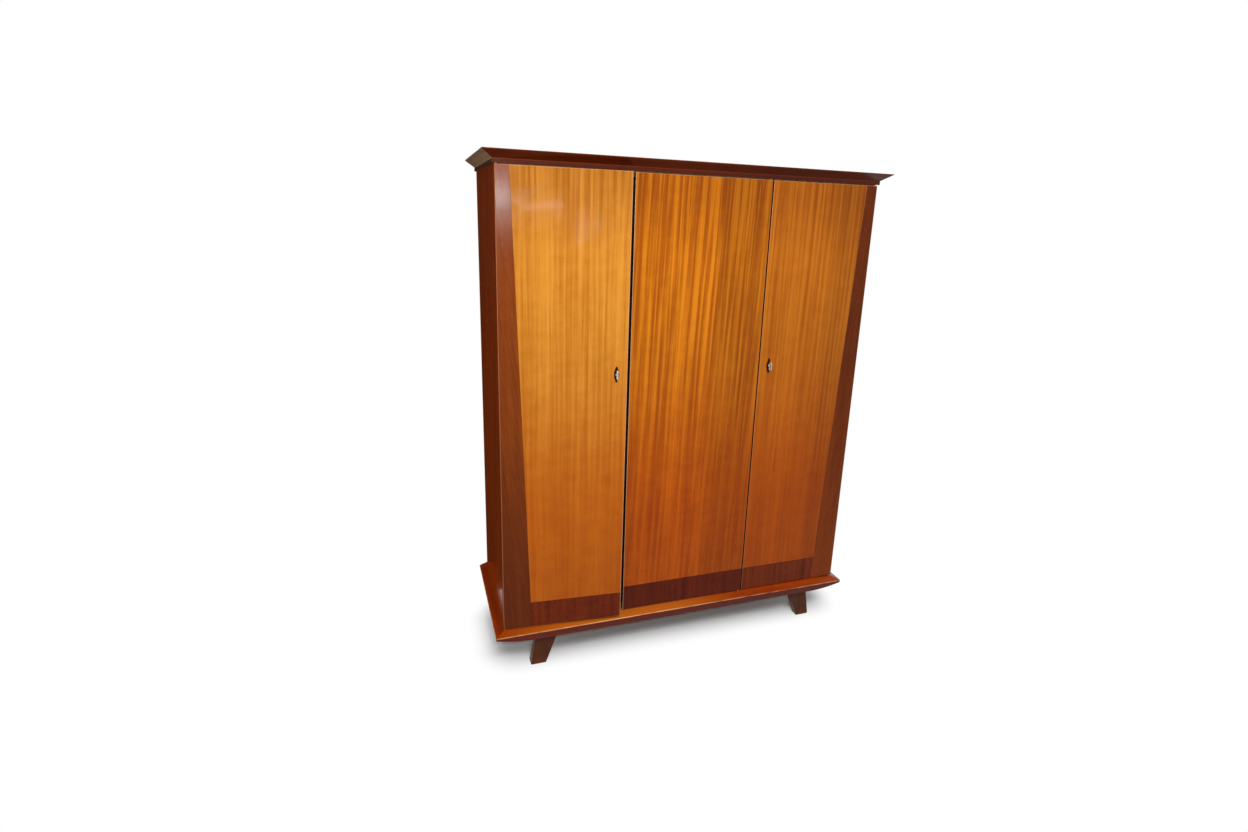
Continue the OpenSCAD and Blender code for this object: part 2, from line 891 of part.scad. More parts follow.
// A side door, drawn on the left.
module side_door() {
    difference() {
        translate([-half_w, 0, door_z]) door_slab(side_door_w);
        left_axis() door_end_places() socket_form();
        translate([left_key_x, -eps, lock_z]) keyhole(door_t + 2 * eps);
    }
}

module left_door() {
    color("goldenrod") placed() ajar_door() side_door();
}

module right_door() {
    color("goldenrod") placed() mirror([1, 0, 0]) side_door();
}

module centre_door() {
    color("darkorange") placed() difference() {
        translate([centre_left, 0, door_z]) door_slab(centre_door_w);
        centre_axis() door_end_places() socket_form();
    }
}

// The strip behind the centre door's free edge, with a pocket for the bolt of the left door's lock.
module closing_strip() {
    start = floor_z + strip_end_gap;
    color("saddlebrown") placed() difference() {
        translate([strip_x, door_t, start]) cube([strip_w, strip_t, roof_z - strip_end_gap - start]);
        translate([strip_x - eps, 0, 0]) lock_pocket(throw - case_edge - strip_gap + pocket_more + eps);
    }
}

// ---- locks ----

// A pocket for a lock bolt that enters it towards +X.
module lock_pocket(depth) {
    translate([0, door_t + lock_bolt_in - slide_gap, lock_z + lock_bolt_z - slide_gap])
        cube([depth, lock_bolt_t + 2 * slide_gap, lock_bolt_h + 2 * slide_gap]);
}

// The left lock's place: on the key's axis, at the back face of the door, with +X towards the free edge.
module left_lock() {
    ajar_door() translate([left_key_x, door_t, lock_z]) children();
}

module right_lock() {
    mirror([1, 0, 0]) translate([left_key_x, door_t, lock_z]) children();
}

module lock_case() {
    half_h = case_h / 2;
    length = case_tail + case_front;
    difference() {
        translate([-case_tail, 0, -half_h]) cube([length, case_d, case_h]);
        translate([case_wall - case_tail, -eps, case_wall - half_h])
            cube([length - 2 * case_wall, case_d - case_wall + eps, case_h - 2 * case_wall]);
        translate([0, lock_bolt_in - slide_gap, lock_bolt_z - slide_gap])
            cube([case_front + eps, lock_bolt_t + 2 * slide_gap, lock_bolt_h + 2 * slide_gap]);
        rotate([-90, 0, 0]) cylinder(h = case_d + eps, r = pilot_r + pin_run);
    }
    boss_in = case_wall + boss_r - boss_sink;
    for (x = [boss_in - case_tail, case_front - boss_in])
        translate([x, 0, boss_in - half_h]) rotate([-90, 0, 0]) cylinder(h = case_d - 1, r = boss_r);
    translate([stud_x, lock_bolt_in - 1, stud_z]) rotate([-90, 0, 0])
        cylinder(h = case_d - case_wall - lock_bolt_in + 1, r = stud_r);
}

module left_lock_case() {
    color("dimgray") placed() left_lock() lock_case();
}

module right_lock_case() {
    color("dimgray") placed() right_lock() lock_case();
}

// The bolt, with a slot that rides on the stud and a notch for the key's bit.
module lock_bolt() {
    slot_r = stud_r + slide_gap;
    notch_w = bit_reach;
    difference() {
        translate([lock_bolt_tail, lock_bolt_in, lock_bolt_z])
            cube([case_front - lock_bolt_tail, lock_bolt_t, lock_bolt_h]);
        translate([stud_x - throw, 0, stud_z]) rotate([-90, 0, 0]) {
            cylinder(h = case_d, r = slot_r);
            translate([throw, 0, 0]) cylinder(h = case_d, r = slot_r);
            translate([0, -slot_r, 0]) cube([throw, 2 * slot_r, case_d]);
        }
        translate([-notch_w / 2, 0, lock_bolt_z - eps]) cube([notch_w, case_d, lock_bolt_h / 4 + eps]);
    }
}

module left_lock_bolt() {
    color("goldenrod") placed() left_lock() lock_bolt();
}

module right_lock_bolt() {
    color("goldenrod") placed() right_lock() lock_bolt();
}

// A key with its bit down: the bow is an upright ring that serves as the door's pull.
module key() {
    translate([0, shank_front, 0]) rotate([-90, 0, 0]) {
        cylinder(h = shank_back - shank_front, r = shank_r);
        cylinder(h = shank_back + pilot_l - shank_front, r = pilot_r);
    }
    translate([-bit_t / 2, bit_y, -bit_reach]) cube([bit_t, bit_l, bit_reach]);
    translate([-bow_t / 2, bow_front, -bow_h / 2]) lengthwise(bow_t) difference() {
        rounded_plate(bow_l, bow_h, bow_l / 2 - 0.01);
        translate([bow_ring, bow_ring])
            rounded_plate(bow_l - 2 * bow_ring, bow_h - 2 * bow_ring, bow_l / 2 - bow_ring - 0.01);
    }
}

module left_key() {
    color("silver") placed() left_lock() key();
}

module right_key() {
    color("silver") placed() right_lock() key();
}

// A boat-shaped outline: two equal arcs that would meet above and below its blunt ends.
module boat_outline(w, h) {
    tip = h / 2 + 2;
    radius = (tip * tip + w * w / 4) / w;
    intersection() {
        translate([w / 2 - radius, 0]) circle(radius, $fn = 180);
        translate([radius - w / 2, 0]) circle(radius, $fn = 180);
        square([w, h], center = true);
    }
}

module escutcheon() {
    translate([0, -door_t - rim_t, 0]) difference() {
        upright(rim_t) boat_outline(escutcheon_w, plate_h);
        translate([0, -eps, 0]) upright(rim_t - dish_t + eps)
            boat_outline(escutcheon_w - 2 * rim_w, plate_h - 2 * rim_w);
        translate([0, -eps, 0]) keyhole(rim_t + 2 * eps);
    }
}

module left_escutcheon() {
    color("darkslategray") placed() left_lock() escutcheon();
}

module right_escutcheon() {
    color("darkslategray") placed() right_lock() escutcheon();
}

// The plate on the partition that the right lock's bolt enters.
module keeper_form(t) {
    translate([partition_right - t, carcass_y, lock_z + stud_z - case_h / 2])
        cube([t, 2 * lock_bolt_in + lock_bolt_t + 2, case_h]);
}

module partition_pocket() {
    depth = throw - case_edge - (half_w - side_door_w - partition_right) + pocket_more;
    translate([partition_right + eps, 0, 0]) mirror([1, 0, 0]) lock_pocket(depth + eps);
}

module lock_keeper_recess() {
    keeper_form(keeper_t);
    partition_pocket();
}

module lock_keeper() {
    color("goldenrod") placed() difference() {
        keeper_form(keeper_t);
        partition_pocket();
    }
}

// ---- sliding bolts of the centre door ----

module bolt_keeper_plate() {
    translate([-keeper_l / 2, -keeper_front, 0]) cube([keeper_l, 3 * keeper_front, keeper_t]);
}

module bolt_keeper_hole() {
    translate([0, 0, -eps])
        cylinder(h = slide_bolt_throw + pocket_more - guide_gap + 1 + eps, r = slide_bolt_r + keeper_gap);
}

module bolt_keeper_recess() {
    bolt_keeper_plate();
    bolt_keeper_hole();
}

module bolt_keepers() {
    color("goldenrod") placed() translate([slide_bolt_x, slide_bolt_y, 0]) {
        translate([0, 0, roof_z]) difference() {
            bolt_keeper_plate();
            bolt_keeper_hole();
        }
        translate([0, 0, floor_z]) mirror([0, 0, 1]) difference() {
            bolt_keeper_plate();
            bolt_keeper_hole();
        }
    }
}

// The top bolt's place: on the bolt's axis, at the upper end of its guide, with +Z towards the keeper.
module top_bolt_place() {
    translate([slide_bolt_x, slide_bolt_y, roof_z - guide_gap]) children();
}

module bottom_bolt_place() {
    translate([slide_bolt_x, slide_bolt_y, floor_z + guide_gap]) mirror([0, 0, 1]) children();
}

module bolt_guide() {
    difference() {
        union() {
            translate([-guide_w / 2, -slide_bolt_in, -guide_l]) cube([guide_w, guide_plate_t, guide_l]);
            for (z = [-guide_ear, -guide_l])
                translate([-guide_w / 2, -slide_bolt_in, z]) cube([guide_w, guide_d, guide_ear]);
        }
        translate([0, 0, -guide_l - eps])
            cylinder(h = guide_l + 2 * eps, r = slide_bolt_r + slide_bolt_run);
    }
}

module bolt_guides() {
    color("goldenrod") placed() {
        top_bolt_place() bolt_guide();
        bottom_bolt_place() bolt_guide();
    }
}

module slide_bolt() {
    translate([0, 0, -slide_bolt_l]) cylinder(h = slide_bolt_l, r = slide_bolt_r);
    translate([0, 0, knob_r + guide_ear + 1 - guide_l]) rotate([-90, 0, 0]) cylinder(h = knob_l, r = knob_r);
}

module top_bolt() {
    color("silver") placed() top_bolt_place() slide_bolt();
}

module bottom_bolt() {
    color("silver") placed() bottom_bolt_place() slide_bolt();
}

left_side();
right_side();
top_panel();
bottom_panel();
partition();
back_panel_wide();
back_panel_narrow();
carcass_dowels();
cornice_front();
cornice_left();
cornice_right();
base_front();
base_left();
base_right();
base_back();
base_blocks();
leg_front_left();
leg_front_right();
leg_back_left();
leg_back_right();
leg_bolts();
hat_shelf();
hat_shelf_cleats();
hanging_rail();
rail_sockets();
shelf_1();
shelf_2();
shelf_3();
shelf_4();
shelf_pins();
left_door_pins();
centre_door_pins();
right_door_pins();
lock_keeper();
bolt_keepers();
left_door();
left_door_sockets();
left_lock_case();
left_escutcheon();
left_lock_bolt();
left_key();
centre_door();
centre_door_sockets();
closing_strip();
bolt_guides();
top_bolt();
bottom_bolt();
right_door();
right_door_sockets();
right_lock_case();
right_escutcheon();
right_lock_bolt();
right_key();
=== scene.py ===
import json
import math
import random

import bmesh
import bpy
from mathutils import Matrix, Vector


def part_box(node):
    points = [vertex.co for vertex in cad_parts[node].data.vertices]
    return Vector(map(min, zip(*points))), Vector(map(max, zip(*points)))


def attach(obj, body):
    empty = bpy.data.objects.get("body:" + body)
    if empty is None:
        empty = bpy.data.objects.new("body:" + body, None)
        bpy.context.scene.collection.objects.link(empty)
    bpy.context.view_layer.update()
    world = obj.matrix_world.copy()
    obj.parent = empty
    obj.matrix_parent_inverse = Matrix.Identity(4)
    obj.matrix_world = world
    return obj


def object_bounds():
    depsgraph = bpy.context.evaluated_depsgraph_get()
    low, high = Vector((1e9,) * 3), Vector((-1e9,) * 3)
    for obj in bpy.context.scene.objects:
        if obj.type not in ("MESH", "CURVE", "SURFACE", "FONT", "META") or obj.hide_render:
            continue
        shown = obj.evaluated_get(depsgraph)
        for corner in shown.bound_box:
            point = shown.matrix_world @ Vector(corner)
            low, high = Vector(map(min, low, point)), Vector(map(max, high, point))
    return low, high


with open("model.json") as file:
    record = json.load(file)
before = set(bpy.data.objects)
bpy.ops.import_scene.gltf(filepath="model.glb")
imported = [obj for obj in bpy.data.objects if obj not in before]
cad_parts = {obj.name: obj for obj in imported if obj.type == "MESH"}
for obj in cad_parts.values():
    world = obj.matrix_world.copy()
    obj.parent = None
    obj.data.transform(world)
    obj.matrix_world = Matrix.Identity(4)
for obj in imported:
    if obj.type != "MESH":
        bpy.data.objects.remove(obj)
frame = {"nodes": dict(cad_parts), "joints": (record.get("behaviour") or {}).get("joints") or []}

nodes = frame["nodes"]
box_at_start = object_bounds()


# ---- Side panels ----
# Two boards of blockboard faced outside with dark, straight-grained mahogany veneer that stands upright,
# stained and lacquered to a gloss, and inside with a pale veneer. Dowels join them to top and bottom.

def tone(red, green, blue):
    """A colour of this wardrobe's finishes, matched on a 0 to 255 scale."""
    def linear(c):
        c = c / 255
        return c / 12.92 if c <= 0.04045 else ((c + 0.055) / 1.055) ** 2.4
    return (linear(red), linear(green), linear(blue), 1.0)


class Value:
    """A socket in a finish's node tree. An expression on it adds its Math nodes."""

    def __init__(self, tree, socket):
        self.tree, self.socket = tree, socket

    def node(self, kind, settings=None, sockets=None, output=0):
        """Adds any node: its settings first, then the values or links of its sockets."""
        made = self.tree.nodes.new(kind)
        for key, value in (settings or {}).items():
            setattr(made, key, value)
        for key, value in (sockets or {}).items():
            if isinstance(value, Value):
                self.tree.links.new(value.socket, made.inputs[key])
            else:
                made.inputs[key].default_value = value
        return Value(self.tree, made.outputs[output])

    def math(self, operation, *others):
        return self.node("ShaderNodeMath", {"operation": operation}, dict(enumerate((self,) + others)))

    def __add__(self, other):
        return self.math("ADD", other)

    def __sub__(self, other):
        return self.math("SUBTRACT", other)

    def __mul__(self, other):
        return self.math("MULTIPLY", other)

    def __rsub__(self, other):
        return self.math("MULTIPLY", -1.0) + other

    __radd__, __rmul__ = __add__, __mul__

    def above(self, edge, soft):
        """0 below edge and 1 above it, changing over soft to either side."""
        return self.node("ShaderNodeMapRange", {"interpolation_type": "SMOOTHSTEP"},
                         {"Value": self, "From Min": edge - soft, "From Max": edge + soft})

    def tint(self, low, high):
        """A colour that goes from low to high as this value goes from 0 to 1."""
        return self.node("ShaderNodeMix", {"data_type": "RGBA"}, {0: self, 6: low, 7: high}, 2)

    def part(self, axis):
        return self.node("ShaderNodeSeparateXYZ", {}, {"Vector": self}, axis)

    def drawn_out(self, size, seed=0.0, detail=2.0, rough=0.5, twist=0.0):
        """Noise on a place, whose features have the given size in metres along X, Y and Z."""
        moved = self.node("ShaderNodeMapping", {}, {
            "Vector": self, "Location": (seed * 7.3, seed * 3.1, seed * 5.7), "Scale": [1 / s for s in size]})
        return self.node("ShaderNodeTexNoise", {}, {
            "Vector": moved, "Scale": 1.0, "Detail": detail, "Roughness": rough, "Distortion": twist})


def start_finish(name):
    material = bpy.data.materials.new(name)
    material.use_nodes = True
    tree = material.node_tree
    return material, Value(tree, tree.nodes.new("ShaderNodeTexCoord").outputs["Object"])


def close_finish(material, sockets):
    shader = material.node_tree.nodes["Principled BSDF"]
    for key, value in sockets.items():
        if isinstance(value, Value):
            material.node_tree.links.new(value.socket, shader.inputs[key])
        else:
            shader.inputs[key].default_value = value
    return material


def relief(place, height):
    """A surface normal from a height in metres."""
    return place.node("ShaderNodeBump", {}, {"Strength": 1.0, "Distance": 1.0, "Height": height})


def put_on(material, *names):
    """The finish covers these CAD nodes from here on."""
    for name in names:
        mesh = nodes[name].data
        mesh.materials.clear()
        mesh.materials.append(material)


def along(axis, length, width):
    size = [width, width, width]
    size[axis] = length
    return size


def dark_figure(place, axis, seed):
    """The darkness of straight-grained mahogany, 0 to 1, with its grain along one axis."""
    stripe = place.drawn_out(along(axis, 0.9, 0.022), seed, 2.0, 0.55, 0.15)
    fibre = place.drawn_out(along(axis, 0.16, 0.0022), seed + 1, 3.0, 0.6)
    pore = place.drawn_out(along(axis, 0.014, 0.0007), seed + 2, 1.0, 0.5).above(0.66, 0.06)
    mottle = place.drawn_out(along(axis, 0.05, 0.09), seed + 3, 2.0, 0.5)
    return stripe * 0.62 + fibre * 0.26 + mottle * 0.22 + pore * 0.3 - 0.12, pore


def lacquered(name, place_of, axis, light, dark, seed, gloss=0.17, specular=0.14):
    """Dark lacquered wood: its two tones, its grain's axis, and how dull its lacquer is."""
    material, place = start_finish(name)
    figure, pore = dark_figure(place_of(place), axis, seed)
    haze = place.drawn_out((0.12, 0.12, 0.3), seed + 4, 3.0, 0.6)
    wave = place.drawn_out((0.16, 0.16, 0.35), seed + 5, 1.0, 0.4)
    return close_finish(material, {
        "Base Color": figure.above(0.5, 0.3).tint(light, dark),
        "Roughness": haze * 0.14 + (gloss - 0.07) + pore * 0.1,
        "Specular IOR Level": specular,
        "Normal": relief(place, wave * 0.0004 - pore * 0.00003)})


def as_is(place):
    return place


side_finish = lacquered("side_mahogany", as_is, 2, tone(162, 64, 8), tone(116, 38, 2), 3.0)
tree = side_finish.node_tree
shader = tree.nodes["Principled BSDF"]
place = Value(tree, tree.nodes["Texture Coordinate"].outputs["Object"])
veneer_thick = 0.0008
outside = place.part(0).math("ABSOLUTE").above(-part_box("left_side")[1].x + veneer_thick, veneer_thick / 2)
fibre = place.drawn_out((0.0016, 0.0016, 0.09), 8.0, 3.0, 0.6)
leaf = place.drawn_out((0.03, 0.03, 0.5), 9.0, 3.0, 0.5, 0.6)
plain = (fibre * 0.5 + leaf * 0.6 - 0.05).above(0.5, 0.35).tint(tone(206, 160, 108), tone(168, 118, 70))
faced = outside.tint(plain, Value(tree, shader.inputs["Base Color"].links[0].from_socket))
tree.links.new(faced.socket, shader.inputs["Base Color"])
put_on(side_finish, "left_side", "right_side")


# ---- Top panel, bottom panel and partition ----
# Plain blockboard with a pale, close-grained veneer, only varnished, because it is seen when a door is open.
# The dowels of beech that join them to the sides are glued in and out of sight.

def plain_wood(name, axis, light, dark, seed, dull=0.45):
    material, place = start_finish(name)
    ring = place.drawn_out(along(axis, 0.5, 0.03), seed, 3.0, 0.5, 0.6)
    fibre = place.drawn_out(along(axis, 0.09, 0.0016), seed + 1, 3.0, 0.6)
    fleck = place.drawn_out(along(axis, 0.006, 0.0012), seed + 2, 1.0, 0.5).above(0.68, 0.05)
    dirt = place.drawn_out((0.25, 0.25, 0.25), seed + 3, 4.0, 0.6)
    return close_finish(material, {
        "Base Color": (ring * 0.55 + fibre * 0.35 + fleck * 0.25 + dirt * 0.3 - 0.2).above(0.5, 0.35).tint(
            light, dark),
        "Roughness": dirt * 0.2 + (dull - 0.1),
        "Specular IOR Level": 0.14,
        "Normal": relief(place, fibre * 0.00004 - fleck * 0.00004)})


inner_wide = plain_wood("inner_veneer_across", 0, tone(206, 160, 108), tone(168, 118, 70), 11.0)
inner_tall = plain_wood("inner_veneer_upright", 2, tone(206, 160, 108), tone(168, 118, 70), 13.0)
put_on(inner_wide, "top_panel", "bottom_panel")
put_on(inner_tall, "partition")
put_on(plain_wood("beech_dowel", 0, tone(212, 172, 124), tone(184, 138, 92), 15.0, 0.6), "carcass_dowels")


# ---- Plywood backs ----
# Two sheets of thin rotary-cut plywood, laid in the rebates of the sides and pinned round their edges
# with small flat-headed pins. They are sanded and left without lacquer.

back_finish, place = start_finish("back_plywood")
sheet_ring = place.drawn_out((0.05, 0.05, 0.7), 21.0, 2.0, 0.55, 1.4)
sheet_wave = (sheet_ring * 9.0).math("FRACT")
sheet_fibre = place.drawn_out((0.002, 0.002, 0.12), 22.0, 3.0, 0.6)
sheet_dirt = place.drawn_out((0.3, 0.3, 0.4), 23.0, 4.0, 0.6)
close_finish(back_finish, {
    "Base Color": (sheet_wave * 0.45 + sheet_fibre * 0.4 + sheet_dirt * 0.35 - 0.1).above(0.5, 0.4).tint(
        tone(186, 142, 92), tone(142, 98, 56)),
    "Roughness": sheet_dirt * 0.15 + 0.6,
    "Specular IOR Level": 0.25,
    "Normal": relief(place, sheet_fibre * 0.00008)})
put_on(back_finish, "back_panel_wide", "back_panel_narrow")


def turned(profile, sides=16):
    """A revolved form as points and faces, from (radius, height) pairs that run from end to end."""
    points, faces = [], []
    for radius, height in profile:
        for k in range(sides):
            t = 2 * math.pi * k / sides
            points.append(Vector((radius * math.cos(t), radius * math.sin(t), height)))
    for i in range(len(profile) - 1):
        for k in range(sides):
            m = (k + 1) % sides
            faces.append([i * sides + k, i * sides + m, (i + 1) * sides + m, (i + 1) * sides + k])
    faces.append(list(range(sides))[::-1])
    faces.append([(len(profile) - 1) * sides + k for k in range(sides)])
    return points, faces


def facing(place, direction, turn=0.0):
    """A frame at a place whose Z looks along direction, turned about it."""
    return (Matrix.Translation(place) @ Vector(direction).to_track_quat("Z", "Y").to_matrix().to_4x4()
            @ Matrix.Rotation(turn, 4, "Z"))


def gather(name, form, frames, material, body, smooth=False):
    """One piece made of copies of a form, each set in its own frame. It moves with a body."""
    points, faces = [], []
    for turned_frame in frames:
        first = len(points)
        points += [turned_frame @ p for p in form[0]]
        faces += [[first + i for i in face] for face in form[1]]
    mesh = bpy.data.meshes.new(name)
    mesh.from_pydata(points, [], faces)
    mesh.materials.append(material)
    if smooth:
        mesh.shade_smooth()
    made = bpy.data.objects.new(name, mesh)
    bpy.context.scene.collection.objects.link(made)
    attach(made, body)
    return made


def metal(name, base, tarnish, shine, seed, metallic=1.0, scratch=0.3):
    """Metal with a tarnish in patches and fine scratches from handling."""
    material, place = start_finish(name)
    patch = place.drawn_out((0.012, 0.012, 0.012), seed, 5.0, 0.65).above(0.55, 0.2)
    line = place.drawn_out((0.0004, 0.006, 0.0004), seed + 1, 2.0, 0.5)
    return close_finish(material, {
        "Base Color": (patch * 0.75 + line * 0.25).tint(base, tarnish),
        "Metallic": metallic,
        "Roughness": patch * 0.22 + line * scratch * 0.3 + shine,
        "Normal": relief(place, line * 0.00002)})


low_back, high_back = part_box("back_panel_wide")
low_narrow, high_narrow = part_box("back_panel_narrow")
pin_head = turned([(0.0012, -0.0004), (0.0014, 0.0), (0.0014, 0.0004), (0.0009, 0.0006)], 10)
pin_pitch, edge, end_edge = 0.12, 0.006, 0.009
pin_frames = []
for low, high in ((low_back, high_back), (low_narrow, high_narrow)):
    rows = round((high.z - low.z) / pin_pitch)
    columns = round((high.x - low.x) / pin_pitch)
    for i in range(rows + 1):
        z = low.z + edge + (high.z - low.z - 2 * edge) * i / rows
        for x in (low.x + edge, high.x - edge):
            pin_frames.append(facing((x, high.y, z), (0, 1, 0)))
    for i in range(1, columns):
        x = low.x + edge + (high.x - low.x - 2 * edge) * i / columns
        for z in (low.z + end_edge, high.z - end_edge):
            pin_frames.append(facing((x, high.y, z), (0, 1, 0)))
plated = metal("plated_steel", tone(206, 204, 198), tone(140, 134, 124), 0.22, 31.0)
gather("back_pins", pin_head, pin_frames, plated, "carcass")


# ---- Cornice ----
# Three lengths of solid mahogany, planed to a canted face over an upright strip, mitred at the front corners
# and screwed down on the carcass. They are stained darker than the doors. The left one's pale tone is a painted
# sheen, and painted shade darkens each upright strip under the cant.

def multiply(colour, shade):
    return colour.node("ShaderNodeMix", {"data_type": "RGBA", "blend_type": "MULTIPLY"},
                       {0: 1.0, 6: colour, 7: shade}, 2)


cant_height = 0.0275


def cornice_finish(name, axis, light, dark, seed, painted_strip_shade):
    """The stain of one length, with painted shade on its upright strip under the cant."""
    material = lacquered(name, as_is, axis, light, dark, seed)
    tree = material.node_tree
    shader = tree.nodes["Principled BSDF"]
    face = Value(tree, shader.inputs["Base Color"].links[0].from_socket)
    height = Value(tree, tree.nodes["Texture Coordinate"].outputs["Object"]).part(2)
    strip_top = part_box("cornice_front")[1].z - cant_height
    # Painted shade darkens the upright strip, which stands under the overhanging cant.
    dimmed = multiply(face, height.above(strip_top, 0.001).tint(painted_strip_shade, (1.0, 1.0, 1.0, 1.0)))
    tree.links.new(dimmed.socket, shader.inputs["Base Color"])
    return material


cornice_light, cornice_dark = tone(108, 38, 6), tone(68, 17, 2)
# Multipliers of painted shade for the upright strips; the left length's is stronger.
painted_strip_shade, left_painted_strip_shade = (0.58, 0.5, 0.45, 1.0), (0.2, 0.17, 0.16, 1.0)
put_on(cornice_finish("cornice_across", 0, cornice_light, cornice_dark, 41.0, painted_strip_shade), "cornice_front")
put_on(cornice_finish("cornice_deep", 1, cornice_light, cornice_dark, 44.0, painted_strip_shade), "cornice_right")
# The left length's pale tone is a painted sheen, with a stronger painted shade on its upright strip.
put_on(cornice_finish("cornice_bleached", 1, tone(200, 158, 118), tone(126, 96, 70), 47.0,
                      left_painted_strip_shade), "cornice_left")


# ---- Base ----
# Mouldings of the same solid mahogany in a lighter stain, with a slope over a sharp edge and an undercut
# that sweeps up to the mitres. Painted shade darkens the undercut, a painted highlight runs along the sharp
# edge, and the middle of the front slope is lighter. Glued blocks stiffen the corners.

sharp_edge_height = 0.0305
edge_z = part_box("base_front")[0].z + sharp_edge_height


def slope_over_shaded_undercut(place):
    """1 on the slope above the sharp edge and 0 on the undercut below it, where painted shade darkens the wood.
    """
    return place.part(2).above(edge_z, 0.001)


def base_finish(name, axis, light, dark, seed, under, trodden=0.0):
    """The stain of a moulding, the painted shade on its undercut, the painted highlight on its sharp edge, and
    how much lighter its middle is.
    """
    material = lacquered(name, as_is, axis, light, dark, seed)
    tree = material.node_tree
    shader = tree.nodes["Principled BSDF"]
    place = Value(tree, tree.nodes["Texture Coordinate"].outputs["Object"])
    slope = Value(tree, shader.inputs["Base Color"].links[0].from_socket)
    # Painted shade darkens the undercut below the sharp edge, which faces down.
    shade = slope_over_shaded_undercut(place).tint(under, (1.0, 1.0, 1.0, 1.0))
    # A painted highlight runs along the sharp edge, broken up by noise.
    edge_glint = 1.0 - (place.part(2) - edge_z).math("ABSOLUTE").above(0.0014, 0.0006)
    edge_breakup = place.drawn_out((0.05, 0.05, 0.01), seed + 9, 3.0, 0.6).above(0.45, 0.15)
    # The middle of the front slope is made lighter, towards a paler tone.
    middle = (1.0 - (place.part(0) + 0.25).math("ABSOLUTE").above(0.35, 0.2)) * trodden
    lightened_middle = (middle * slope_over_shaded_undercut(place)).tint(multiply(slope, shade), tone(222, 124, 36))
    moulding_colour = (edge_glint * (edge_breakup * 0.5 + middle * 0.9)).tint(lightened_middle, tone(240, 180, 120))
    tree.links.new(moulding_colour.socket, shader.inputs["Base Color"])
    return material


put_on(base_finish("base_across", 0, tone(172, 66, 7), tone(120, 36, 2), 51.0,
                   under=(0.48, 0.28, 0.2, 1.0), trodden=0.5), "base_front")
put_on(base_finish("base_deep", 1, tone(152, 54, 9), tone(98, 29, 3), 54.0,
                   under=(0.36, 0.15, 0.1, 1.0)), "base_left", "base_right")
put_on(plain_wood("base_rail_pine", 0, tone(204, 164, 112), tone(170, 124, 74), 57.0, 0.6),
       "base_back", "base_blocks")


# ---- Legs ----
# Four boards sawn to a taper that leans outwards, stained nearly black-brown and scuffed at the floor.
# Two steel bolts hold each one up into the base.

leg_finish, place = start_finish("leg_wood")
leg_figure, leg_pore = dark_figure(place, 2, 61.0)
leg_scuff = place.drawn_out((0.02, 0.02, 0.006), 66.0, 4.0, 0.7)
scuff_height = 0.03
leg_worn = (leg_scuff + (scuff_height - place.part(2)) * 9.0).above(0.68, 0.14)
leg_colour = leg_figure.above(0.5, 0.3).tint(tone(98, 46, 14), tone(58, 25, 8))
close_finish(leg_finish, {
    "Base Color": (leg_worn * 0.5).tint(leg_colour, tone(120, 78, 48)),
    "Roughness": leg_worn * 0.25 + leg_pore * 0.1 + 0.3,
    "Specular IOR Level": 0.14,
    "Normal": relief(place, leg_figure * 0.00006 - leg_worn * 0.0001)})
put_on(leg_finish, "leg_front_left", "leg_front_right", "leg_back_left", "leg_back_right")
put_on(plated, "leg_bolts")


# ---- Hat shelf and hanging rail ----
# A shelf on two screwed cleats spans the wide compartment. Under it a plated steel tube rests in two
# pressed sockets, each screwed to the wood with three countersunk screws.

put_on(inner_wide, "hat_shelf")
put_on(plain_wood("cleat_wood", 1, tone(204, 158, 106), tone(166, 116, 68), 71.0), "hat_shelf_cleats")
put_on(plated, "hanging_rail", "rail_sockets")


def slotted_head(radius, height):
    """The head of a wood screw with a straight slot, standing on Z = 0."""
    made = bmesh.new()
    points, faces = turned([(radius, -0.2 * height), (radius, 0.15 * height), (radius * 0.8, 0.7 * height),
                            (radius * 0.45, 0.95 * height), (radius * 0.1, height)], 20)
    for p in points:
        made.verts.new(p)
    made.verts.ensure_lookup_table()
    for f in faces:
        made.faces.new([made.verts[i] for i in f])
    half = radius * 0.14
    for x in (-half, half):
        bmesh.ops.bisect_plane(made, geom=made.verts[:] + made.edges[:] + made.faces[:],
                               plane_co=(x, 0, 0), plane_no=(1, 0, 0), dist=1e-7)
    slot = [f for f in made.faces if abs(f.calc_center_median().x) < half * 0.9 and f.normal.z > 0.1]
    lowered = bmesh.ops.extrude_face_region(made, geom=slot)["geom"]
    bmesh.ops.delete(made, geom=slot, context="FACES")
    for v in {v for v in lowered if isinstance(v, bmesh.types.BMVert)}:
        v.co.z = height * 0.25
    made.verts.index_update()
    form = [v.co.copy() for v in made.verts], [[v.index for v in f.verts] for f in made.faces]
    made.free()
    return form


turns = random.Random(5)


def screws(name, places, radius, material, body):
    """Screw heads at places, each a point on the surface and the way it faces."""
    return gather(name, slotted_head(radius, radius * 0.34),
                  [facing(p, d, turns.uniform(0, math.pi)) for p, d in places], material, body)


low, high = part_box("rail_sockets")
rail_low, rail_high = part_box("hanging_rail")
flange_depth, flange_ring = 0.003, 0.0183
middle = (rail_low + rail_high) / 2
socket_places = []
for k in range(3):
    t = math.pi / 2 + 2 * math.pi * k / 3
    spot = Vector((0, flange_ring * math.cos(t), flange_ring * math.sin(t)))
    socket_places.append((Vector((low.x + flange_depth, middle.y, middle.z)) + spot, (1, 0, 0)))
    socket_places.append((Vector((high.x - flange_depth, middle.y, middle.z)) + spot, (-1, 0, 0)))
screws("rail_socket_screws", socket_places, 0.0026, plated, "carcass")

